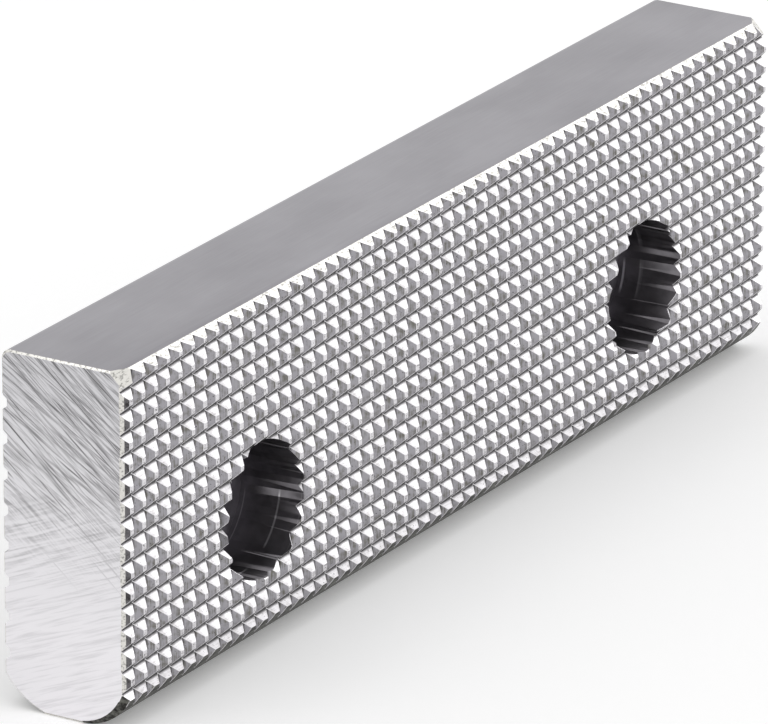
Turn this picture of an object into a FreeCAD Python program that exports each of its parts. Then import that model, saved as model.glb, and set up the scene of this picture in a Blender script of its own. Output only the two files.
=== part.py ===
"""Serrated vice jaw plate.

One hardened steel plate. The front is a field of blunt pyramids, left standing
between two sets of V grooves. The back has lengthwise relief grooves between its
seating lands. Two counterbored screw holes go through from front to back.

Axes: +X along the plate, -Y out of the toothed front, +Z up. The origin is the
middle of the plate's footprint, on the surface that it stands on. Units: mm.
"""
import FreeCAD
import Part
import math
import os

import Sketcher

NODE = "jaw_plate"
TINY = 1e-6
QUARTER_TURN = 90.0

# Driving dimensions: alias, value, what it is.
SIZES = [
    ("length", 136.0, "along the jaw, end to end"),
    ("height", 40.0, "from the edge it stands on to the ground top"),
    ("thickness", 15.5, "from the tooth flats to the back lands"),
    ("top_chamfer_depth", 1.1, "front top chamfer, measured into the plate"),
    ("top_chamfer_drop", 0.7, "front top chamfer, measured down the front"),
    ("back_top_radius", 1.2, "round along the back top edge"),
    ("front_bottom_radius", 6.4, "round along the front bottom edge"),
    ("front_bottom_rise", 3.9, "where that round meets the front, above the base"),
    ("relief_depth", 5.0, "back bottom relief, measured into the plate"),
    ("relief_rise", 3.7, "back bottom relief, measured up the back"),
    ("relief_radius", 9.0, "curve of the back bottom relief"),
    ("edge_break", 0.25, "small chamfer round both end faces"),
    ("end_bevel_run", 0.5, "bevel of the front corners, along the plate"),
    ("end_bevel_depth", 0.9, "bevel of the front corners, into the plate"),
    ("end_round_radius", 6.1, "outline of the end faces at their front bottom corner"),
    ("end_round_inset", 6.6, "centre of that outline behind the tooth flats"),
    ("end_round_height", 6.3, "centre of that outline above the base"),
    ("corner_cut_length", 3.8, "ground-off front top corners, along the plate"),
    ("corner_cut_depth", 2.3, "ground-off front top corners, into the plate"),
    ("corner_cut_drop", 2.3, "ground-off front top corners, down from the top"),
    ("tooth_pitch", 2.4, "between neighbouring teeth, both ways"),
    ("tooth_flat", 0.6, "blunt flat on each tooth"),
    ("tooth_angle", 90.0, "included angle of the V grooves, degrees"),
    ("first_row_height", 4.3, "lowest lengthwise V groove above the base"),
    ("first_column_overhang", 0.2, "first upright V groove beyond the left end"),
    ("relief_groove_pitch", 4.0, "between the grooves of the back"),
    ("relief_groove_mouth", 1.9, "width of a back groove at the lands"),
    ("relief_groove_floor", 0.8, "width of a back groove at its floor"),
    ("relief_groove_depth", 0.7, "depth of a back groove below the lands"),
    ("first_relief_height", 6.1, "lowest back groove above the base"),
    ("screw_spacing", 81.2, "between the two screw holes"),
    ("screw_height", 16.0, "screw axes above the base"),
    ("screw_diameter", 9.0, "clearance hole for an M8 cap screw"),
    ("head_diameter", 15.3, "counterbore for its head"),
    ("head_depth", 8.0, "counterbore floor below the tooth flats"),
    ("cutter_clearance", 0.5, "how far a cutter starts outside the plate"),
]

doc = FreeCAD.newDocument("JawPlate")
sheet = doc.addObject("Spreadsheet::Sheet", "Sizes")
for row, (alias, number, meaning) in enumerate(SIZES, start=1):
    sheet.set("A%d" % row, meaning)
    sheet.set("B%d" % row, str(number))
    sheet.setAlias("B%d" % row, alias)
doc.recompute()

# Formulas that several features share, in the sheet's own names.
HALF_LENGTH = "Sizes.length / 2"
HALF_THICKNESS = "Sizes.thickness / 2"
V_SLOPE = "tan(Sizes.tooth_angle / 2 * 1deg)"
TOOTH_DEPTH = "(Sizes.tooth_pitch - Sizes.tooth_flat) / 2 / " + V_SLOPE
V_HALF_MOUTH = "(%s + Sizes.cutter_clearance) * %s" % (TOOTH_DEPTH, V_SLOPE)
ROW_COUNT = "floor((Sizes.height - Sizes.first_row_height) / Sizes.tooth_pitch) + 1"
COLUMN_COUNT = "floor((Sizes.length + Sizes.first_column_overhang) / Sizes.tooth_pitch) + 1"
END_ROUND_REACH = "Sizes.end_bevel_run + Sizes.cutter_clearance"
END_ROUND_SPREAD = "(%s) * Sizes.end_bevel_depth / Sizes.end_bevel_run" % END_ROUND_REACH
RELIEF_COUNT = (
    "floor((Sizes.height - Sizes.back_top_radius - Sizes.relief_groove_mouth / 2"
    " - Sizes.first_relief_height) / Sizes.relief_groove_pitch) + 1"
)


def size(alias):
    """A driving dimension as a number, for first positions that a solver then refines."""
    return float(sheet.get(alias))


def tooth_depth():
    """Depth of the V grooves, from their angle and the flat that they leave."""
    slope = math.tan(math.radians(size("tooth_angle") / 2))
    return (size("tooth_pitch") - size("tooth_flat")) / 2 / slope


def new_sketch(body, name, role):
    """A sketch on one of the body's own origin planes."""
    plane = next(item for item in body.Origin.OriginFeatures if item.Role == role)
    sketch = body.newObject("Sketcher::SketchObject", name)
    sketch.AttachmentSupport = [(plane, "")]
    sketch.MapMode = "FlatFace"
    return sketch


def bind(sketch, name, formula, *constraint):
    """Add one dimension to a sketch and tie it to the sheet."""
    sketch.addConstraint(Sketcher.Constraint(*constraint))
    sketch.renameConstraint(sketch.ConstraintCount - 1, name)
    sketch.setExpression("Constraints." + name, formula)


def relate(sketch, *constraint):
    """Add one geometric constraint to a sketch."""
    sketch.addConstraint(Sketcher.Constraint(*constraint))


def line(sketch, start, end):
    """A straight edge between two points of the sketch; returns its number."""
    return sketch.addGeometry(Part.LineSegment(FreeCAD.Vector(*start, 0), FreeCAD.Vector(*end, 0)))


def arc(sketch, centre, radius, start, end):
    """A counter-clockwise arc from start to end; returns its number."""
    angles = [math.atan2(y - centre[1], x - centre[0]) for x, y in (start, end)]
    if angles[1] < angles[0]:
        angles[1] += 2 * math.pi
    circle = Part.Circle(FreeCAD.Vector(*centre, 0), FreeCAD.Vector(0, 0, 1), radius)
    return sketch.addGeometry(Part.ArcOfCircle(circle, *angles))


def closed_polygon(sketch, corners):
    """Straight edges round the corners, joined end to end; returns their numbers."""
    edges = [line(sketch, a, b) for a, b in zip(corners, corners[1:] + corners[:1])]
    for this, following in zip(edges, edges[1:] + edges[:1]):
        relate(sketch, "Coincident", this, 2, following, 1)
    return edges


def relief_centre(half, depth, rise, radius):
    """Centre of the relief's arc, which bulges down and back from its chord."""
    chord = math.hypot(depth, rise)
    sagitta_side = math.sqrt(radius ** 2 - (chord / 2) ** 2)
    return (half - depth / 2 - sagitta_side * rise / chord, rise / 2 + sagitta_side * depth / chord)


def end_profile(body):
    """The plate's section, seen from its left end: Y across, Z up."""
    half = size("thickness") / 2
    high = size("height")
    front_round, front_rise = size("front_bottom_radius"), size("front_bottom_rise")
    back_round = size("back_top_radius")
    run, drop = size("top_chamfer_depth"), size("top_chamfer_drop")
    depth, rise = size("relief_depth"), size("relief_rise")
    bend = size("relief_radius")

    toe_centre = (math.sqrt(front_round ** 2 - (front_round - front_rise) ** 2) - half, front_round)
    front_toe, relief_toe = (toe_centre[0], 0.0), (half - depth, 0.0)
    relief_top, back_top = (half, rise), (half, high - back_round)
    top_back, top_front = (half - back_round, high), (run - half, high)
    front_top, front_foot = (-half, high - drop), (-half, front_rise)

    sketch = new_sketch(body, "EndProfile", "YZ_Plane")
    base = line(sketch, front_toe, relief_toe)
    relief = arc(sketch, relief_centre(half, depth, rise, bend), bend, relief_toe, relief_top)
    back = line(sketch, relief_top, back_top)
    crown = arc(sketch, (half - back_round, high - back_round), back_round, back_top, top_back)
    top = line(sketch, top_back, top_front)
    chamfer = line(sketch, top_front, front_top)
    front = line(sketch, front_top, front_foot)
    toe = arc(sketch, toe_centre, front_round, front_foot, front_toe)

    for this, following in ((base, relief), (relief, back), (top, chamfer), (chamfer, front), (front, toe)):
        relate(sketch, "Coincident", this, 2, following, 1)
    for this, following in ((back, crown), (crown, top), (toe, base)):
        relate(sketch, "Tangent", this, 2, following, 1)
    for level in (base, top):
        relate(sketch, "Horizontal", level)
    for upright in (back, front):
        relate(sketch, "Vertical", upright)
    relate(sketch, "PointOnObject", base, 1, -1)

    bind(sketch, "ToBack", HALF_THICKNESS, "DistanceX", -1, 1, back, 1, half)
    bind(sketch, "ToFront", HALF_THICKNESS, "DistanceX", front, 1, -1, 1, half)
    bind(sketch, "Height", "Sizes.height", "DistanceY", -1, 1, top, 1, high)
    bind(sketch, "BackTop", "Sizes.back_top_radius", "Radius", crown, back_round)
    bind(sketch, "FrontBottom", "Sizes.front_bottom_radius", "Radius", toe, front_round)
    bind(sketch, "FrontRise", "Sizes.front_bottom_rise", "DistanceY", -1, 1, toe, 1, front_rise)
    bind(sketch, "ReliefBend", "Sizes.relief_radius", "Radius", relief, bend)
    bind(sketch, "ReliefDepth", "Sizes.relief_depth", "DistanceX", relief, 1, relief, 2, depth)
    bind(sketch, "ReliefRise", "Sizes.relief_rise", "DistanceY", relief, 1, relief, 2, rise)
    bind(sketch, "ChamferDepth", "Sizes.top_chamfer_depth", "DistanceX", chamfer, 2, chamfer, 1, run)
    bind(sketch, "ChamferDrop", "Sizes.top_chamfer_drop", "DistanceY", chamfer, 2, chamfer, 1, drop)
    return sketch


def blank(body):
    """The plain bar, drawn out to both sides of its middle."""
    pad = body.newObject("PartDesign::Pad", "Bar")
    pad.Profile = end_profile(body)
    pad.Midplane = True
    pad.setExpression("Length", "Sizes.length")
    doc.recompute()
    return pad


def end_bevels(body):
    """A steep bevel down each front corner, where the teeth run out at the ends."""
    end, front = size("length") / 2, -size("thickness") / 2
    run, depth = size("end_bevel_run"), size("end_bevel_depth")
    sketch = new_sketch(body, "EndBevels", "XY_Plane")
    for side, name in ((-1, "Left"), (1, "Right")):
        corner, along, into = (side * end, front), (side * (end - run), front), (side * end, front + depth)
        first, slope, last = closed_polygon(sketch, [corner, along, into])
        relate(sketch, "Horizontal", first)
        relate(sketch, "Vertical", last)
        ends = (first, 1, -1, 1) if side < 0 else (-1, 1, first, 1)
        bind(sketch, name + "End", HALF_LENGTH, "DistanceX", *ends, end)
        bind(sketch, name + "Front", HALF_THICKNESS, "DistanceY", first, 1, -1, 1, -front)
        across = (first, 1, first, 2) if side < 0 else (first, 2, first, 1)
        bind(sketch, name + "Run", "Sizes.end_bevel_run", "DistanceX", *across, run)
        bind(sketch, name + "Depth", "Sizes.end_bevel_depth", "DistanceY", slope, 1, slope, 2, depth)
    return cut_through(body, "EndBevelCut", sketch, upward=True)


def end_rounds(body):
    """The same bevel carried on round the front bottom corner of each end face, as a cone.

    The sketch's own horizontal axis is the cone's axis, along the plate.
    """
    end, radius = size("length") / 2, size("end_round_radius")
    reach = size("end_bevel_run") + size("cutter_clearance")
    spread = reach * size("end_bevel_depth") / size("end_bevel_run")
    sketch = new_sketch(body, "EndRounds", "XZ_Plane")
    sketch.setExpression("AttachmentOffset.Base.y", "Sizes.end_round_height")
    sketch.setExpression("AttachmentOffset.Base.z", HALF_THICKNESS + " - Sizes.end_round_inset")
    for side, name in ((-1, "Left"), (1, "Right")):
        tip, low = (side * end, -radius), (side * end, -radius - spread)
        deep = (side * (end - reach), -radius - spread)
        first, floor, _ = closed_polygon(sketch, [tip, low, deep])
        relate(sketch, "Vertical", first)
        relate(sketch, "Horizontal", floor)
        ends = (first, 1, -1, 1) if side < 0 else (-1, 1, first, 1)
        bind(sketch, name + "End", HALF_LENGTH, "DistanceX", *ends, end)
        bind(sketch, name + "Radius", "Sizes.end_round_radius", "DistanceY", first, 1, -1, 1, radius)
        across = (floor, 1, floor, 2) if side < 0 else (floor, 2, floor, 1)
        bind(sketch, name + "Reach", END_ROUND_REACH, "DistanceX", *across, reach)
        bind(sketch, name + "Spread", END_ROUND_SPREAD, "DistanceY", first, 2, first, 1, spread)
    doc.recompute()
    groove = body.newObject("PartDesign::Groove", "EndRoundCut")
    groove.Profile = sketch
    groove.ReferenceAxis = (sketch, ["H_Axis"])
    groove.Angle = QUARTER_TURN
    groove.Reversed = True
    doc.recompute()
    return groove


def corner_cuts(body):
    """The front top corners, each ground off to one slanting facet.

    The triangle lies on the top. It is driven down and outwards, so that its long
    side sweeps the facet.
    """
    end, front = size("length") / 2, -size("thickness") / 2
    run, depth = size("corner_cut_length"), size("corner_cut_depth")
    sketch = new_sketch(body, "CornerCut", "XY_Plane")
    sketch.setExpression("AttachmentOffset.Base.z", "Sizes.height")
    first, _, last = closed_polygon(sketch, [(-end, front), (run - end, front), (-end, front + depth)])
    relate(sketch, "Horizontal", first)
    relate(sketch, "Vertical", last)
    bind(sketch, "End", HALF_LENGTH, "DistanceX", first, 1, -1, 1, end)
    bind(sketch, "Front", HALF_THICKNESS, "DistanceY", first, 1, -1, 1, -front)
    bind(sketch, "Length", "Sizes.corner_cut_length", "DistanceX", first, 1, first, 2, run)
    bind(sketch, "Depth", "Sizes.corner_cut_depth", "DistanceY", last, 2, last, 1, depth)
    doc.recompute()
    pocket = body.newObject("PartDesign::Pocket", "CornerCutLeft")
    pocket.Profile = sketch
    pocket.UseCustomVector = True
    pocket.setExpression("Direction.x", "-Sizes.corner_cut_length / 2")
    pocket.setExpression("Direction.y", "-Sizes.corner_cut_depth / 2")
    pocket.setExpression("Direction.z", "-Sizes.corner_cut_drop")
    pocket.AlongSketchNormal = True
    pocket.setExpression("Length", "Sizes.corner_cut_drop")
    doc.recompute()
    mirrored = body.newObject("PartDesign::Mirrored", "CornerCuts")
    mirrored.Originals = [pocket]
    mirrored.MirrorPlane = (sketch, ["V_Axis"])
    body.Tip = mirrored
    doc.recompute()
    return mirrored


def cut_through(body, name, sketch, upward=False):
    """A pocket right through the plate: both ways from its plane, or only upwards."""
    pocket = body.newObject("PartDesign::Pocket", name)
    pocket.Profile = sketch
    pocket.Type = "ThroughAll"
    pocket.Midplane = not upward
    pocket.Reversed = upward
    doc.recompute()
    return pocket


def break_end_edges(body, base):
    """The small chamfer round each end face, before the larger cuts at its front."""
    end = size("length") / 2
    names = []
    for number, edge in enumerate(base.Shape.Edges, start=1):
        if edge.BoundBox.XLength < TINY and abs(abs(edge.BoundBox.XMin) - end) < TINY:
            names.append("Edge%d" % number)
    chamfer = body.newObject("PartDesign::Chamfer", "EndEdges")
    chamfer.Base = (base, names)
    chamfer.setExpression("Size", "Sizes.edge_break")
    doc.recompute()
    return chamfer


def repeat(body, name, feature, axis, count, pitch):
    """Copies of one cut at an even pitch along its own sketch's axis."""
    pattern = body.newObject("PartDesign::LinearPattern", name)
    pattern.Originals = [feature]
    pattern.Direction = (feature.Profile[0], [axis])
    pattern.setExpression("Occurrences", count)
    pattern.setExpression("Length", "(%s - 1) * %s" % (count, pitch))
    body.Tip = pattern
    doc.recompute()
    return pattern


def relief_grooves(body):
    """Lengthwise grooves of the back, which leave narrow seating lands."""
    back = size("thickness") / 2
    level, depth = size("first_relief_height"), size("relief_groove_depth")
    mouth, floor = size("relief_groove_mouth"), size("relief_groove_floor")
    corners = [
        (back - depth, level - floor / 2),
        (back, level - mouth / 2),
        (back, level + mouth / 2),
        (back - depth, level + floor / 2),
    ]
    sketch = new_sketch(body, "ReliefGroove", "YZ_Plane")
    lower, opening, upper, bottom = closed_polygon(sketch, corners)
    relate(sketch, "Vertical", opening)
    relate(sketch, "Vertical", bottom)
    relate(sketch, "Equal", lower, upper)
    bind(sketch, "ToBack", HALF_THICKNESS, "DistanceX", -1, 1, opening, 1, back)
    bind(sketch, "Depth", "Sizes.relief_groove_depth", "DistanceX", lower, 1, lower, 2, depth)
    bind(sketch, "Mouth", "Sizes.relief_groove_mouth", "DistanceY", opening, 1, opening, 2, mouth)
    bind(sketch, "Floor", "Sizes.relief_groove_floor", "DistanceY", bottom, 2, bottom, 1, floor)
    low_corner = "Sizes.first_relief_height - Sizes.relief_groove_mouth / 2"
    bind(sketch, "Level", low_corner, "DistanceY", -1, 1, opening, 1, level - mouth / 2)
    groove = cut_through(body, "ReliefGrooveCut", sketch)
    return repeat(body, "ReliefGrooves", groove, "V_Axis", RELIEF_COUNT, "Sizes.relief_groove_pitch")


def screw_holes(body):
    """Two counterbored clearance holes, entered from the toothed front."""
    half_spacing, level = size("screw_spacing") / 2, size("screw_height")
    sketch = new_sketch(body, "ScrewAxes", "XZ_Plane")
    sketch.setExpression("AttachmentOffset.Base.z", HALF_THICKNESS)
    for side, name in ((-1, "Left"), (1, "Right")):
        centre = FreeCAD.Vector(side * half_spacing, level, 0)
        ring = sketch.addGeometry(Part.Circle(centre, FreeCAD.Vector(0, 0, 1), size("screw_diameter") / 2))
        ends = (ring, 3, -1, 1) if side < 0 else (-1, 1, ring, 3)
        bind(sketch, name + "Spacing", "Sizes.screw_spacing / 2", "DistanceX", *ends, half_spacing)
        bind(sketch, name + "Height", "Sizes.screw_height", "DistanceY", -1, 1, ring, 3, level)
        bind(sketch, name + "Size", "Sizes.screw_diameter", "Diameter", ring, size("screw_diameter"))
    doc.recompute()
    hole = body.newObject("PartDesign::Hole", "ScrewHoles")
    hole.Profile = sketch
    doc.recompute()
    hole.ThreadType = "None"
    hole.DepthType = "ThroughAll"
    hole.HoleCutType = "Counterbore"
    hole.HoleCutCustomValues = True
    hole.setExpression("Diameter", "Sizes.screw_diameter")
    hole.setExpression("HoleCutDiameter", "Sizes.head_diameter")
    hole.setExpression("HoleCutDepth", "Sizes.head_depth")
    doc.recompute()
    return hole


def v_cutter(sketch, tip_across, tip_into, formulas):
    """One V outline, its tip in the plate and its mouth outside the front.

    The V opens towards negative 'into'. Formulas give the tip's two distances
    from the origin; across is the direction in which the V repeats.
    """
    swap = formulas["swap"]
    reach = tooth_depth() + size("cutter_clearance")
    spread = reach * math.tan(math.radians(size("tooth_angle") / 2))
    corners = [
        (tip_across, tip_into),
        (tip_across - spread, tip_into - reach),
        (tip_across + spread, tip_into - reach),
    ]
    if swap:
        corners = [(into, across) for across, into in corners]
    across, into = ("DistanceY", "DistanceX") if swap else ("DistanceX", "DistanceY")
    flank, mouth, _ = closed_polygon(sketch, corners)
    relate(sketch, "Vertical" if swap else "Horizontal", mouth)
    bind(sketch, "TipInto", formulas["into"], into, flank, 1, -1, 1, -tip_into)
    tip_ends = (flank, 1, -1, 1) if tip_across < 0 else (-1, 1, flank, 1)
    bind(sketch, "TipAcross", formulas["across"], across, *tip_ends, abs(tip_across))
    bind(sketch, "Reach", TOOTH_DEPTH + " + Sizes.cutter_clearance", into, flank, 2, flank, 1, reach)
    bind(sketch, "LowHalf", V_HALF_MOUTH, across, flank, 2, flank, 1, spread)
    bind(sketch, "HighHalf", V_HALF_MOUTH, across, flank, 1, mouth, 2, spread)


def tooth_rows(body):
    """Lengthwise V grooves of the front, one above another."""
    sketch = new_sketch(body, "RowGroove", "YZ_Plane")
    formulas = {
        "swap": True,
        "across": "Sizes.first_row_height",
        "into": "%s - %s" % (HALF_THICKNESS, TOOTH_DEPTH),
    }
    v_cutter(sketch, size("first_row_height"), tooth_depth() - size("thickness") / 2, formulas)
    groove = cut_through(body, "RowGrooveCut", sketch)
    return repeat(body, "RowGrooves", groove, "V_Axis", ROW_COUNT, "Sizes.tooth_pitch")


def tooth_columns(body):
    """Upright V grooves of the front, which part the rows into pyramids."""
    sketch = new_sketch(body, "ColumnGroove", "XY_Plane")
    formulas = {
        "swap": False,
        "across": HALF_LENGTH + " + Sizes.first_column_overhang",
        "into": "%s - %s" % (HALF_THICKNESS, TOOTH_DEPTH),
    }
    first = -size("length") / 2 - size("first_column_overhang")
    v_cutter(sketch, first, tooth_depth() - size("thickness") / 2, formulas)
    groove = cut_through(body, "ColumnGrooveCut", sketch, upward=True)
    return repeat(body, "ColumnGrooves", groove, "H_Axis", COLUMN_COUNT, "Sizes.tooth_pitch")


def check_smaller(before, after):
    """A cut that removed nothing points the wrong way."""
    if after.Shape.Volume > before.Shape.Volume - TINY:
        raise RuntimeError("%s removes no material" % after.Name)


body = doc.addObject("PartDesign::Body", "JawPlate")
body.Label = NODE
steps = [blank(body)]
steps.append(break_end_edges(body, steps[-1]))
for make in (end_bevels, end_rounds, corner_cuts, relief_grooves, screw_holes, tooth_rows, tooth_columns):
    steps.append(make(body))
for before, after in zip(steps, steps[1:]):
    check_smaller(before, after)

doc.recompute()
for item in doc.Objects:
    if "Invalid" in item.State or "Error" in item.State:
        raise RuntimeError("%s failed: %s" % (item.Name, item.State))
shape = body.Shape
if shape.isNull() or not shape.isValid() or len(shape.Solids) != 1:
    raise RuntimeError("%s is not one valid solid" % NODE)

os.makedirs("parts", exist_ok=True)
shape.exportStep(os.path.join("parts", NODE + ".step"))
print("%s: %.1f mm3, %d faces, %s" % (NODE, shape.Volume, len(shape.Faces), shape.BoundBox))
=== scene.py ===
import math

import bmesh
import bpy
from bpy.props import FloatProperty, FloatVectorProperty, PointerProperty
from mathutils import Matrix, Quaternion, Vector, noise


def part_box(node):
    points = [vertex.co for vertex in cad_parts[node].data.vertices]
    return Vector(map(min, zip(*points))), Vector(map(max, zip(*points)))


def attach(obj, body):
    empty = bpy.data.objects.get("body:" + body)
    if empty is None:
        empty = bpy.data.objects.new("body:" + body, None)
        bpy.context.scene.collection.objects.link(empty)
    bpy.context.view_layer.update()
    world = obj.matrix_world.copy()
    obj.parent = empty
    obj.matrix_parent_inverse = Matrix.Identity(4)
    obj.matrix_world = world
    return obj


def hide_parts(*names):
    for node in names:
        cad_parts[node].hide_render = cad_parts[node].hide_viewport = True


bl_info = {
    "name": "Serrated Jaw Plate",
    "version": (1, 0, 0),
    "blender": (4, 5, 0),
    "location": "View3D > Sidebar > Jaw Plate",
    "description": "Finishes a serrated vice jaw plate and sets it in a plain studio",
    "category": "Object",
}

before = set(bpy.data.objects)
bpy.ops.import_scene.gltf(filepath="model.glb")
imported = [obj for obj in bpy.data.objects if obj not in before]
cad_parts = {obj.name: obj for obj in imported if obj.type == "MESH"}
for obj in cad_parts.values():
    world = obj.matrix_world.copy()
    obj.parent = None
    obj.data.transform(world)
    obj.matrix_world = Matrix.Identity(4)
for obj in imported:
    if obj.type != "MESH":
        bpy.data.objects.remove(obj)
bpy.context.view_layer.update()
LOW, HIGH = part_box("jaw_plate")
MM = 0.001

# The plate's own sizes, as in the part's source.
TOOTH_FLAT = 0.6 * MM
TOOTH_DEPTH = 0.9 * MM
SCREW_OFFSET = 40.6 * MM
SCREW_HEIGHT = 16.0 * MM
HEAD_RADIUS = 7.65 * MM
RELIEF_GROOVE_DEPTH = 0.7 * MM
BACK_TOP_RADIUS = 1.2 * MM
FRONT_RISE = 3.9 * MM
TOOTH_ROOT = LOW.y + TOOTH_DEPTH

# How a face's place and direction are told apart. All but the first are parts of a
# face's normal along one axis: 1 looks straight along it, 0 across it.
SLACK = 0.05 * MM
DEAD_SQUARE = 0.999
SQUARE_ON = 0.99
V_FLANK = math.sqrt(0.5)
V_SLACK = 0.02
CHAMFER_UP = 0.5
CHAMFER_FORWARD = 0.4
BORE_WALL = 0.3
SKEWED = 0.2
HARDLY_TURNED = 0.01

# Where the sharp edges are rubbed, and how the mesh is cleaned and shaded.
SHORTEST_WORN_EDGE = 0.3 * MM
BLUNTEST_WORN_EDGE = math.radians(25)
FLAT_ENOUGH = math.radians(0.5)
SHARP_FROM = math.radians(18)

# Real sizes of the marks on the steel. Grinding lines are really about 0.03 mm wide
# and cutter streaks finer still; both are drawn wider, as far as they need to show.
STREAK_WIDTH = 0.12 * MM
STREAK_LENGTH = 2 * MM
END_SCRATCH_DEPTH = 9 * MM
STEEP_SCRATCH = math.radians(41)
MIDDLE_SCRATCH = math.radians(31)
FLAT_SCRATCH = math.radians(-22)

# Each lamp's name, its place from the camera's aim, its width and its watts. Places and
# widths are in metres.
LAMPS = (
    ("key_lamp", Vector((0.96, -0.42, 0.60)), 0.9, 3.2),
    ("top_lamp", Vector((-0.50, 0.20, 1.20)), 0.9, 3.2),
)
FLOOR_HALF_WIDTH = 4.0
SENSOR_MILLIMETRES = 36.0

# The plate's finishes, in the order of its material slots.
ZONES = (
    "ground_steel",
    "brushed_end_steel",
    "milled_tooth_crest",
    "milled_row_flank_painted_light",
    "milled_column_flank_painted_shade",
    "milled_under_flank_painted_shade",
    "bore_steel_painted_shade",
    "blackened_seat_steel",
    "scaled_edge_steel",
    "deburred_edge_steel",
    "arris_wear_and_highlight_steel",
)
ZONE = {name: number for number, name in enumerate(ZONES)}


def linear(code):
    """A colour written as sRGB hex, in the linear values that a shader takes."""
    channels = [int(code[place:place + 2], 16) / 255 for place in (1, 3, 5)]
    return tuple(c / 12.92 if c <= 0.04045 else ((c + 0.055) / 1.055) ** 2.4 for c in channels)


def colour(name, description, code):
    """A colour that a user can change."""
    return FloatVectorProperty(
        name=name, description=description, default=linear(code), min=0, max=1, size=3, subtype="COLOR"
    )


def length(name, description, metres):
    """A real size that a user can change."""
    return FloatProperty(
        name=name, description=description, default=metres, min=0, unit="LENGTH", precision=5
    )


class JawPlateFinish(bpy.types.PropertyGroup):
    """Colours and sizes of the plate's finishes, several with painted light, shade or highlight in them."""

    ground_light: colour("Ground, light", "Light clouding of the surface-ground faces", "#9D9BA0")
    ground_dark: colour("Ground, dark", "Dark clouding of the surface-ground faces", "#8F8D92")
    # Painted light: the end's colour runs lighter at its foot and darker at its top.
    end_low_painted_light: colour("End, low", "Belt-ground end near its base", "#EEECEF")
    end_high_painted_shade: colour("End, high", "Belt-ground end near its top", "#D2D1D4")
    crest_light: colour("Crest, light", "Blunt flats of the teeth", "#E4E2E5")
    crest_dark: colour("Crest, dark", "Stains on the blunt flats", "#B4B1B4")
    # Painted light: the upper row flanks are a lit copy of the milled steel, lighter than the column
    # flanks.
    painted_light_row_flank: colour("Row flank, light", "Upper flanks of the lengthwise grooves", "#E8E6E9")
    painted_light_row_stain: colour("Row flank, dark", "Stains on those upper flanks", "#C8C5C6")
    # Painted shade: the column flanks are a shaded copy of the milled steel, darker than the row flanks.
    painted_shade_column_flank: colour("Column flank, light", "Flanks of the upright grooves", "#A3A1A6")
    painted_shade_column_stain: colour("Column flank, dark", "Stains on those flanks", "#74726C")
    # Painted shade: the downward row flanks and the first column's flanks are coloured dark for the shade
    # they lie in.
    painted_shade_under_flank: colour("Under flank, light", "Lower flanks of the row grooves", "#6C6A6C")
    painted_deep_shade_under_flank: colour("Under flank, dark", "Oil and dirt held on the lower flanks", "#3C3A3A")
    # Also used for the painted shade in the groove roots.
    grime_and_root_shade: colour("Grime", "Dirt in pits and groove roots", "#2A2829")
    # Painted shade: the bore wall is coloured dark for the shade inside the hole.
    bore_painted_shade: colour("Bore", "Blackened wall of the screw holes", "#7C797D")
    seat: colour("Seat", "Blackened seats of the screw heads", "#A09DA4")
    scale_light: colour("Scale, light", "Hardening scale on the unground edges", "#6E6E69")
    scale_dark: colour("Scale, dark", "Streaks in the hardening scale", "#2F2E2D")
    deburred: colour("Deburred", "Corners and edges taken off by hand", "#DEDCD7")
    # Part wear, part painted highlight on the rubbed edges; also the colour of the painted ring highlights
    # in the screw holes.
    arris_wear_and_highlight: colour("Arris", "Edges rubbed bright by use", "#E9E7EA")
    grain_width: length("Grain width", "Width of a grinding line", 0.16 * MM)
    grain_length: length("Grain length", "Length of a grinding line", 9 * MM)
    mottle: length("Mottle", "Size of the clouding on ground faces", 7 * MM)
    stain: length("Stain", "Size of a stain on the teeth", 0.8 * MM)
    pit: length("Pit", "Size of a pit in the teeth", 0.2 * MM)
    wear: length("Wear", "Most that a tooth's flat is worn down", 0.09 * MM)
    arris_width: length("Arris width", "Width rubbed off each sharp edge", 0.035 * MM)


class JawPlateStudio(bpy.types.PropertyGroup):
    """Camera, floor and lamps."""

    floor: colour("Floor", "Pale matt floor", "#FAFAFA")
    sky: colour("Surroundings", "Even light from all round", "#FFFFFF")
    fill: FloatProperty(
        name="Fill", description="Even light on matt things; what is seen or mirrored stays white",
        default=0.62, min=0,
    )
    floor_glow: FloatProperty(
        name="Floor glow", description="Lifts the floor to white where it is seen or mirrored",
        default=0.2, min=0,
    )
    azimuth: FloatProperty(
        name="Azimuth", description="Camera's turn from the toothed front towards the left end",
        default=math.radians(58.873), subtype="ANGLE",
    )
    elevation: FloatProperty(
        name="Elevation", description="Camera's height over the plate",
        default=math.radians(20.318), subtype="ANGLE",
    )
    roll: FloatProperty(
        name="Roll", description="Camera's turn about its own axis",
        default=math.radians(0.089), subtype="ANGLE",
    )
    distance: length("Distance", "Camera to the point that it aims at", 1.0846)
    lens: FloatProperty(
        name="Lens", description="Focal length in millimetres",
        default=472.4, min=1, subtype="DISTANCE_CAMERA",
    )
    aim: FloatVectorProperty(
        name="Aim", description="Point on the toothed front that the camera aims at",
        default=(-16.64 * MM, -7.75 * MM, 25.22 * MM), size=3, subtype="TRANSLATION", unit="LENGTH",
    )


def add_node(tree, kind, inputs=None, stops=None, **settings):
    """Add one node, with its settings, its inputs' values or links, and a ramp's colour stops."""
    made = tree.nodes.new(kind)
    for name, value in settings.items():
        setattr(made, name, value)
    for name, value in (inputs or {}).items():
        if isinstance(value, bpy.types.NodeSocket):
            tree.links.new(value, made.inputs[name])
        else:
            made.inputs[name].default_value = value
    for number, (place, shade) in enumerate(stops or ()):
        band = made.color_ramp.elements
        stop = band[number] if number < len(band) else band.new(place)
        stop.position = place
        stop.color = (*shade, 1)
    return made


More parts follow.
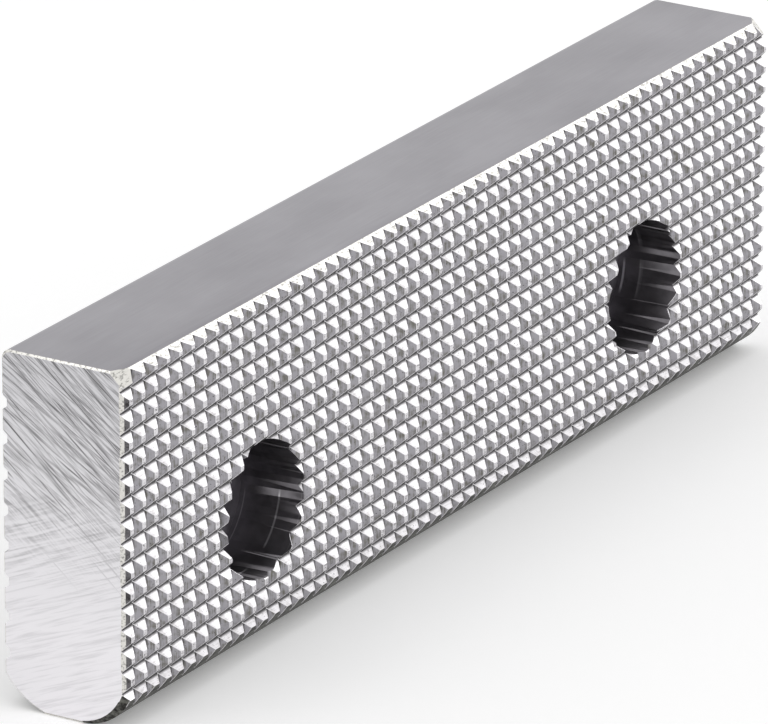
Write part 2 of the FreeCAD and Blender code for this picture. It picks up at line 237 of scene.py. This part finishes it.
def new_metal(name, roughness):
    """A bare metal; returns the material, its tree, its shader and its Object coordinates."""
    material = bpy.data.materials.new(name)
    material.use_nodes = True
    tree = material.node_tree
    tree.nodes.clear()
    shader = add_node(tree, "ShaderNodeBsdfPrincipled", {"Metallic": 1.0, "Roughness": roughness})
    add_node(tree, "ShaderNodeOutputMaterial", {"Surface": shader.outputs["BSDF"]})
    place = add_node(tree, "ShaderNodeTexCoord").outputs["Object"]
    return material, tree, shader, place


def grain(tree, place, size, turn=(0, 0, 0), detail=2.0):
    """Noise whose lumps have the given real size along each axis, in metres, after a turn."""
    spread = add_node(
        tree, "ShaderNodeMapping", {"Vector": place, "Rotation": turn, "Scale": size},
        vector_type="TEXTURE",
    ).outputs["Vector"]
    lumps = add_node(tree, "ShaderNodeTexNoise", {"Vector": spread, "Scale": 1.0, "Detail": detail})
    return lumps.outputs["Fac"]


def dress(tree, shader, tint, height=None, depth=0.0):
    """Give the shader its colour and, with a height, relief of that real depth in metres."""
    tree.links.new(tint, shader.inputs["Base Color"])
    if height is not None:
        bump = add_node(tree, "ShaderNodeBump", {"Height": height, "Strength": 1.0, "Distance": depth})
        tree.links.new(bump.outputs["Normal"], shader.inputs["Normal"])


def ground_steel(finish):
    """Hardened tool steel, surface-ground: satin grey, with faint lines along it and soft clouding."""
    material, tree, shader, place = new_metal("ground_steel", 0.34)
    lines = grain(tree, place, (finish.grain_length, finish.grain_width, finish.grain_width))
    clouds = grain(tree, place, (2 * finish.mottle, finish.mottle, finish.mottle), detail=4.0)
    both = add_node(tree, "ShaderNodeMix", {0: 0.3, 2: clouds, 3: lines}, data_type="FLOAT")
    tint = add_node(
        tree, "ShaderNodeValToRGB", {"Fac": both.outputs[0]},
        stops=[(0.35, finish.ground_dark), (0.65, finish.ground_light)],
    )
    dress(tree, shader, tint.outputs["Color"], lines, 0.002 * MM)
    return material


def end_scratches(tree, place, upper, finish):
    """Belt scratches: two steep sets that cross high on the end, one flatter set low on it."""
    width = finish.grain_width
    steep = grain(tree, place, (END_SCRATCH_DEPTH, 7 * MM, width), (STEEP_SCRATCH, 0, 0), 3.0)
    middle = grain(tree, place, (END_SCRATCH_DEPTH, 5 * MM, width), (MIDDLE_SCRATCH, 0, 0), 3.0)
    flat = grain(tree, place, (END_SCRATCH_DEPTH, 5 * MM, 1.5 * width), (FLAT_SCRATCH, 0, 0), 3.0)
    crossed = add_node(tree, "ShaderNodeMath", {0: steep, 1: middle}, operation="MINIMUM")
    lines = add_node(
        tree, "ShaderNodeMix", {0: upper, 2: flat, 3: crossed.outputs[0]}, data_type="FLOAT"
    )
    return lines.outputs[0]


def brushed_end_steel(finish):
    """Sawn end cleaned on a belt: strong slanting scratches above and a quieter foot below, with painted
    light that makes the foot lighter than the top.
    """
    material, tree, shader, place = new_metal("brushed_end_steel", 0.36)
    height = add_node(tree, "ShaderNodeSeparateXYZ", {"Vector": place}).outputs["Z"]
    upper = add_node(
        tree, "ShaderNodeMapRange",
        {"Value": height, "From Min": 14 * MM, "From Max": 26 * MM, "To Min": 0.0, "To Max": 1.0},
    ).outputs["Result"]
    # Painted light: lighter towards the foot of the end, darker towards its top.
    raised = add_node(
        tree, "ShaderNodeMapRange",
        {"Value": height, "From Min": 9 * MM, "From Max": 37 * MM, "To Min": 0.0, "To Max": 1.0},
    )
    painted_light_tone = add_node(
        tree, "ShaderNodeValToRGB", {"Fac": raised.outputs["Result"]},
        stops=[(0.0, finish.end_low_painted_light), (1.0, finish.end_high_painted_shade)],
    )
    lines = end_scratches(tree, place, upper, finish)
    strength = add_node(
        tree, "ShaderNodeMapRange",
        {"Value": upper, "From Min": 0.0, "From Max": 1.0, "To Min": 0.16, "To Max": 0.75},
    )
    furrow = add_node(
        tree, "ShaderNodeMapRange",
        {"Value": lines, "From Min": 0.52, "From Max": 0.3, "To Min": 0.0, "To Max": 1.0},
    )
    dark = add_node(
        tree, "ShaderNodeMath", {0: furrow.outputs["Result"], 1: strength.outputs["Result"]},
        operation="MULTIPLY",
    )
    gouges = grain(tree, place, (20 * MM, 16 * MM, 0.3 * MM), (STEEP_SCRATCH, 0, 0), 0.0)
    gouged = add_node(
        tree, "ShaderNodeMapRange",
        {"Value": gouges, "From Min": 0.24, "From Max": 0.2, "To Min": 0.0, "To Max": 0.8},
    )
    deep = add_node(tree, "ShaderNodeMath", {0: gouged.outputs["Result"], 1: upper}, operation="MULTIPLY")
    marks = add_node(
        tree, "ShaderNodeMath", {0: dark.outputs[0], 1: deep.outputs[0]}, operation="MAXIMUM"
    )
    scratched = add_node(
        tree, "ShaderNodeMix", {0: marks.outputs[0], 6: painted_light_tone.outputs["Color"], 7: (*finish.grime_and_root_shade, 1)},
        data_type="RGBA",
    )
    dress(tree, shader, scratched.outputs[2], lines, 0.006 * MM)
    return material


def milled_steel(finish, name, light, dark, streak, pitted):
    """As-milled tooth surface: cutter streaks, stains, scattered pits, and darkening towards the roots that
    is part grime and part painted shade.
    """
    material, tree, shader, place = new_metal(name, 0.38)
    lines = grain(tree, place, streak)
    stains = grain(tree, place, (finish.stain,) * 3, detail=4.0)
    both = add_node(tree, "ShaderNodeMix", {0: 0.4, 2: stains, 3: lines}, data_type="FLOAT")
    tint = add_node(
        tree, "ShaderNodeValToRGB", {"Fac": both.outputs[0]}, stops=[(0.36, dark), (0.52, light)]
    )
    pits = add_node(
        tree, "ShaderNodeMapRange",
        {
            "Value": grain(tree, place, (finish.pit,) * 3, detail=1.0),
            "From Min": pitted, "From Max": pitted + 0.05, "To Min": 0.0, "To Max": 0.75,
        },
    )
    # Part grime, part painted shade: darker where the surface lies deep, near the groove roots.
    depth = add_node(tree, "ShaderNodeSeparateXYZ", {"Vector": place}).outputs["Y"]
    root_grime_and_shade = add_node(
        tree, "ShaderNodeMapRange",
        {
            "Value": depth, "From Min": TOOTH_ROOT - 0.24 * MM, "From Max": TOOTH_ROOT - 0.06 * MM,
            "To Min": 0.0, "To Max": 0.9,
        },
    )
    dirt_and_shade = add_node(
        tree, "ShaderNodeMath", {0: pits.outputs["Result"], 1: root_grime_and_shade.outputs["Result"]},
        operation="MAXIMUM",
    )
    grimed_and_shaded = add_node(
        tree, "ShaderNodeMix", {0: dirt_and_shade.outputs[0], 6: tint.outputs["Color"], 7: (*finish.grime_and_root_shade, 1)},
        data_type="RGBA",
    )
    dress(tree, shader, grimed_and_shaded.outputs[2], lines, 0.01 * MM)
    return material


def bored_steel(finish, name, base):
    """Bored surface: smooth and clouded, with painted highlights in a few part-rings; on the bore wall the
    dark base colour is painted shade.
    """
    material, tree, shader, place = new_metal(name, 0.4)
    # Painted highlights: bright part-rings at a few depths, in the arris colour.
    depth_bands = grain(tree, place, (200 * MM, 0.7 * MM, 200 * MM), detail=0.0)
    ring = add_node(
        tree, "ShaderNodeMapRange",
        {"Value": depth_bands, "From Min": 0.66, "From Max": 0.72, "To Min": 0.0, "To Max": 1.0},
    )
    around = grain(tree, place, (4 * MM, 30 * MM, 4 * MM), detail=0.0)
    part = add_node(
        tree, "ShaderNodeMapRange",
        {"Value": around, "From Min": 0.5, "From Max": 0.6, "To Min": 0.0, "To Max": 0.7},
    )
    bright = add_node(
        tree, "ShaderNodeMath", {0: ring.outputs["Result"], 1: part.outputs["Result"]},
        operation="MULTIPLY",
    )
    clouds = grain(tree, place, (3 * MM,) * 3, detail=3.0)
    darker = tuple(channel * 0.7 for channel in base)
    tint = add_node(tree, "ShaderNodeValToRGB", {"Fac": clouds}, stops=[(0.4, darker), (0.6, base)])
    with_painted_ring_highlights = add_node(
        tree, "ShaderNodeMix", {0: bright.outputs[0], 6: tint.outputs["Color"], 7: (*finish.arris_wear_and_highlight, 1)},
        data_type="RGBA",
    )
    dress(tree, shader, with_painted_ring_highlights.outputs[2])
    return material


def scaled_edge_steel(finish):
    """Unground edge with its dark hardening scale: dull, streaked along the plate."""
    material, tree, shader, place = new_metal("scaled_edge_steel", 0.5)
    streaks = grain(tree, place, (5 * MM, 0.35 * MM, 0.35 * MM), detail=4.0)
    tint = add_node(
        tree, "ShaderNodeValToRGB", {"Fac": streaks},
        stops=[(0.36, finish.scale_dark), (0.66, finish.scale_light)],
    )
    dress(tree, shader, tint.outputs["Color"])
    return material


def deburred_edge_steel(finish):
    """Corners and edges taken off by hand: pale, speckled by the coarse wheel."""
    material, tree, shader, place = new_metal("deburred_edge_steel", 0.42)
    specks = grain(tree, place, (0.5 * MM, 0.25 * MM, 0.25 * MM), detail=3.0)
    darker = tuple(channel * 0.45 for channel in finish.deburred)
    tint = add_node(
        tree, "ShaderNodeValToRGB", {"Fac": specks}, stops=[(0.34, darker), (0.5, finish.deburred)]
    )
    dress(tree, shader, tint.outputs["Color"], specks, 0.01 * MM)
    return material


def arris_wear_and_highlight_steel(finish):
    """Sharp edges rubbed bright: smoother and lighter than the faces beside them, part wear and part
    painted highlight.
    """
    material, _, shader, _ = new_metal("arris_wear_and_highlight_steel", 0.25)
    shader.inputs["Base Color"].default_value = (*finish.arris_wear_and_highlight, 1)
    return material


def zone_of(face):
    """Which finish a face of the plate has, from where it lies and which way it looks."""
    normal, middle = face.normal, face.calc_center_median()
    across = math.hypot(abs(middle.x) - SCREW_OFFSET, middle.z - SCREW_HEIGHT)
    toothed = middle.y < TOOTH_ROOT
    groove_flank = toothed and abs(normal.y + V_FLANK) < V_SLACK
    in_front_bottom = middle.z < FRONT_RISE and middle.y < 0
    # The bore wall takes the finish with painted shade.
    if across < HEAD_RADIUS + SLACK and abs(normal.y) < BORE_WALL:
        return "bore_steel_painted_shade"
    if across < HEAD_RADIUS and not toothed and middle.y < HIGH.y - 1 * MM:
        return "blackened_seat_steel"
    if abs(normal.x) > SQUARE_ON:
        return "brushed_end_steel"
    # The first column's flanks and the downward row flanks take the painted-shade finish.
    if groove_flank and abs(abs(normal.x) - V_FLANK) < V_SLACK:
        first_column = middle.x < LOW.x + 1 * MM
        return "milled_under_flank_painted_shade" if first_column else "milled_column_flank_painted_shade"
    if groove_flank and abs(abs(normal.z) - V_FLANK) < V_SLACK:
        return "milled_row_flank_painted_light" if normal.z > 0 else "milled_under_flank_painted_shade"
    if abs(normal.x) > SKEWED:
        return "scaled_edge_steel" if in_front_bottom else "deburred_edge_steel"
    if toothed and normal.y < -SQUARE_ON:
        return "milled_tooth_crest"
    if normal.z > CHAMFER_UP and normal.y < -CHAMFER_FORWARD:
        return "deburred_edge_steel"
    if middle.z < FRONT_RISE and -DEAD_SQUARE < normal.z < -HARDLY_TURNED:
        return "scaled_edge_steel"
    in_relief = middle.y > HIGH.y - RELIEF_GROOVE_DEPTH - 2 * SLACK
    below_round = middle.z <= HIGH.z - BACK_TOP_RADIUS - 2 * SLACK
    if in_relief and below_round and normal.y < SQUARE_ON and abs(normal.z) < DEAD_SQUARE:
        return "scaled_edge_steel"
    return "ground_steel"


def wear_teeth(shape, most):
    """Lower the flat of each whole tooth by its own small amount, along its flanks."""
    for face in shape.faces:
        whole = len(face.verts) == 4 and face.calc_area() > SQUARE_ON * TOOTH_FLAT ** 2
        if face.material_index != ZONE["milled_tooth_crest"] or not whole:
            continue
        middle = face.calc_center_median()
        worn = most * abs(noise.cell(middle / MM))
        for vert in face.verts:
            outward = vert.co - middle
            vert.co += Vector((math.copysign(worn, outward.x), worn, math.copysign(worn, outward.z)))


def wearable(edge):
    """Outward corners that are long enough to be rubbed without running into each other."""
    long_enough = edge.calc_length() > SHORTEST_WORN_EDGE
    outward = edge.is_manifold and edge.is_convex
    return long_enough and outward and edge.calc_face_angle() > BLUNTEST_WORN_EDGE


class JAWPLATE_OT_plate(bpy.types.Operator):
    """Finish a merged copy of the plate, with rubbed arrises and a finish for each kind of face"""

    bl_idname = "jaw_plate.finish_plate"
    bl_label = "Finish Plate"

    def execute(self, context):
        finish = context.scene.jaw_plate_finish
        shape = bmesh.new()
        shape.from_mesh(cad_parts["jaw_plate"].data)
        bmesh.ops.remove_doubles(shape, verts=shape.verts, dist=1e-7)
        bmesh.ops.dissolve_limit(shape, angle_limit=FLAT_ENOUGH, verts=shape.verts, edges=shape.edges)
        for face in shape.faces:
            face.material_index = ZONE[zone_of(face)]
        wear_teeth(shape, finish.wear)
        worn = bmesh.ops.bevel(
            shape, geom=[edge for edge in shape.edges if wearable(edge)], offset=finish.arris_width,
            offset_type="OFFSET", segments=1, profile=0.5, affect="EDGES", material=-1, clamp_overlap=False,
        )
        # The worn faces on the teeth get a lighter finish: part rubbed wear, part painted highlight.
        for face in worn["faces"]:
            if face.calc_center_median().y < TOOTH_ROOT:
                face.material_index = ZONE["arris_wear_and_highlight_steel"]
        mesh = bpy.data.meshes.new("serrated_plate")
        shape.to_mesh(mesh)
        shape.free()
        plate = bpy.data.objects.new("serrated_plate", mesh)
        context.scene.collection.objects.link(plate)
        for material in self.materials(finish):
            mesh.materials.append(material)
        mesh.shade_smooth()
        mesh.set_sharp_from_angle(angle=SHARP_FROM)
        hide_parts("jaw_plate")
        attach(plate, "root")
        return {"FINISHED"}

    def materials(self, finish):
        """The finishes, in the order of ZONES."""
        along = (STREAK_LENGTH, STREAK_WIDTH, STREAK_WIDTH)
        upright = (STREAK_WIDTH, STREAK_WIDTH, STREAK_LENGTH)
        return (
            ground_steel(finish),
            brushed_end_steel(finish),
            milled_steel(finish, "milled_tooth_crest", finish.crest_light, finish.crest_dark, along, 0.62),
            # Painted light: the row flanks get a lit copy of the milled steel.
            milled_steel(finish, "milled_row_flank_painted_light", finish.painted_light_row_flank, finish.painted_light_row_stain, along, 0.7),
            # Painted shade: the column flanks get a darker copy of the milled steel.
            milled_steel(
                finish, "milled_column_flank_painted_shade", finish.painted_shade_column_flank, finish.painted_shade_column_stain, upright, 0.68
            ),
            # Painted shade: the under flanks get the darkest copy of the milled steel.
            milled_steel(finish, "milled_under_flank_painted_shade", finish.painted_shade_under_flank, finish.painted_deep_shade_under_flank, along, 0.66),
            bored_steel(finish, "bore_steel_painted_shade", finish.bore_painted_shade),
            bored_steel(finish, "blackened_seat_steel", finish.seat),
            scaled_edge_steel(finish),
            deburred_edge_steel(finish),
            arris_wear_and_highlight_steel(finish),
        )


def seen_or_mirrored(tree):
    """1 for what the camera sees or a surface mirrors, 0 for light on matt things."""
    path = add_node(tree, "ShaderNodeLightPath").outputs
    mirrored = add_node(
        tree, "ShaderNodeMath", {0: path["Is Glossy Ray"], 1: path["Is Transmission Ray"]},
        operation="MAXIMUM",
    )
    either = add_node(
        tree, "ShaderNodeMath", {0: path["Is Camera Ray"], 1: mirrored.outputs[0]}, operation="MAXIMUM"
    )
    return either.outputs[0]


def soft_lamp(context, name, place, aim, size, power):
    """A square soft lamp that faces the aim point."""
    data = bpy.data.lights.new(name, "AREA")
    data.shape = "SQUARE"
    data.size = size
    data.energy = power
    lamp = bpy.data.objects.new(name, data)
    lamp.location = place
    lamp.rotation_euler = (aim - place).to_track_quat("-Z", "Y").to_euler()
    context.scene.collection.objects.link(lamp)


class JAWPLATE_OT_studio(bpy.types.Operator):
    """Set the plate on a pale floor under soft lamps, with the camera off its left end"""

    bl_idname = "jaw_plate.build_studio"
    bl_label = "Build Studio"

    def execute(self, context):
        studio = context.scene.jaw_plate_studio
        aim = Vector(studio.aim)
        self.add_floor(context, studio)
        self.light(context, studio, aim)
        self.add_camera(context, studio, aim)
        context.scene.view_settings.view_transform = "Standard"
        return {"FINISHED"}

    def add_floor(self, context, studio):
        """A wide matt floor at the plate's own base."""
        grid = bmesh.new()
        bmesh.ops.create_grid(grid, x_segments=1, y_segments=1, size=FLOOR_HALF_WIDTH)
        bmesh.ops.translate(grid, vec=(0, 0, LOW.z), verts=grid.verts)
        mesh = bpy.data.meshes.new("studio_floor")
        grid.to_mesh(mesh)
        grid.free()
        floor = bpy.data.objects.new("studio_floor", mesh)
        context.scene.collection.objects.link(floor)
        material = bpy.data.materials.new("matt_paper")
        material.use_nodes = True
        tree = material.node_tree
        tree.nodes.clear()
        paper = add_node(tree, "ShaderNodeBsdfDiffuse", {"Color": (*studio.floor, 1)})
        lift = add_node(
            tree, "ShaderNodeMath", {0: seen_or_mirrored(tree), 1: studio.floor_glow},
            operation="MULTIPLY",
        )
        glow = add_node(tree, "ShaderNodeEmission", {"Strength": lift.outputs[0]})
        lit = add_node(tree, "ShaderNodeAddShader", {0: paper.outputs["BSDF"], 1: glow.outputs["Emission"]})
        add_node(tree, "ShaderNodeOutputMaterial", {"Surface": lit.outputs["Shader"]})
        mesh.materials.append(material)

    def light(self, context, studio, aim):
        """Even surroundings, and two large lamps: off the right front, and overhead to the left."""
        world = bpy.data.worlds.new("studio_surroundings")
        context.scene.world = world
        world.use_nodes = True
        tree = world.node_tree
        tree.nodes.clear()
        strength = add_node(
            tree, "ShaderNodeMapRange",
            {
                "Value": seen_or_mirrored(tree), "From Min": 0.0, "From Max": 1.0,
                "To Min": studio.fill, "To Max": 1.0,
            },
        )
        glow = add_node(
            tree, "ShaderNodeBackground",
            {"Color": (*studio.sky, 1), "Strength": strength.outputs["Result"]},
        )
        add_node(tree, "ShaderNodeOutputWorld", {"Surface": glow.outputs["Background"]})
        for name, offset, width, watts in LAMPS:
            soft_lamp(context, name, aim + offset, aim, width, watts)

    def add_camera(self, context, studio, aim):
        """A long lens that looks down along the plate."""
        data = bpy.data.cameras.new("studio_camera")
        data.lens = studio.lens
        data.sensor_width = SENSOR_MILLIMETRES
        camera = bpy.data.objects.new("studio_camera", data)
        level = math.cos(studio.elevation)
        back = Vector((
            -level * math.sin(studio.azimuth), -level * math.cos(studio.azimuth), math.sin(studio.elevation)
        ))
        camera.location = aim + back * studio.distance
        turn = (-back).to_track_quat("-Z", "Y") @ Quaternion((0, 0, 1), studio.roll)
        camera.rotation_euler = turn.to_euler()
        context.scene.collection.objects.link(camera)
        context.scene.camera = camera


class JAWPLATE_PT_panel(bpy.types.Panel):
    """Sidebar panel with the plate's finishes and the studio"""

    bl_label = "Jaw Plate"
    bl_idname = "JAWPLATE_PT_panel"
    bl_space_type = "VIEW_3D"
    bl_region_type = "UI"
    bl_category = "Jaw Plate"

    def draw(self, context):
        groups = (
            (context.scene.jaw_plate_finish, JAWPLATE_OT_plate.bl_idname),
            (context.scene.jaw_plate_studio, JAWPLATE_OT_studio.bl_idname),
        )
        for group, operator in groups:
            box = self.layout.box()
            for name in group.bl_rna.properties.keys():
                if name not in ("rna_type", "name"):
                    box.prop(group, name)
            box.operator(operator)


CLASSES = (JawPlateFinish, JawPlateStudio, JAWPLATE_OT_plate, JAWPLATE_OT_studio, JAWPLATE_PT_panel)


def register():
    for cls in CLASSES:
        bpy.utils.register_class(cls)
    bpy.types.Scene.jaw_plate_finish = PointerProperty(type=JawPlateFinish)
    bpy.types.Scene.jaw_plate_studio = PointerProperty(type=JawPlateStudio)


def unregister():
    del bpy.types.Scene.jaw_plate_studio
    del bpy.types.Scene.jaw_plate_finish
    for cls in reversed(CLASSES):
        bpy.utils.unregister_class(cls)


def main():
    register()
    bpy.ops.jaw_plate.finish_plate()
    bpy.ops.jaw_plate.build_studio()


if __name__ == "__main__":
    main()
